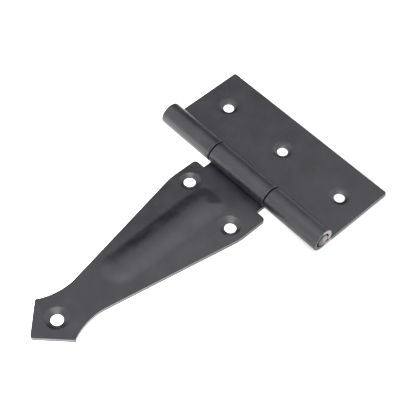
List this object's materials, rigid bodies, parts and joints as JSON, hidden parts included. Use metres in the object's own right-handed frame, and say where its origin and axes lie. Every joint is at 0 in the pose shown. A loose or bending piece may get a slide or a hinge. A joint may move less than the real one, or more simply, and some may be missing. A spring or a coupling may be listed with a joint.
{
  "type": "strap T-hinge",
  "caption": "Surface-mounted T-hinge: a wide butt leaf and a long tapered, ribbed strap leaf, both with countersunk screw holes, turning on a pin through rolled knuckles.",
  "frame": {"origin": "centre of the hinge's bounding box, on the mounting plane that both leaves rest on", "axes": "+X along the pin, +Y from the strap's point towards the butt leaf, +Z out of the mounting plane through the barrel"},
  "size_m": [0.102, 0.1698, 0.0114],
  "materials": {
    "coated_steel": "satin black coating",
    "bare_steel": "worn bare steel"
  },
  "bodies": {
    "frame_side": {"butt_leaf": "coated_steel", "hinge_pin": "bare_steel"},
    "gate_side": {"strap_leaf": "coated_steel"}
  },
  "joints": [
    {"name": "strap_fold", "type": "hinge", "parent": "frame_side", "child": "gate_side", "pos_m": [0, 0.0409, 0.00572], "axis": [-1, 0, 0], "range_deg": [-90, 185]}
  ]
}
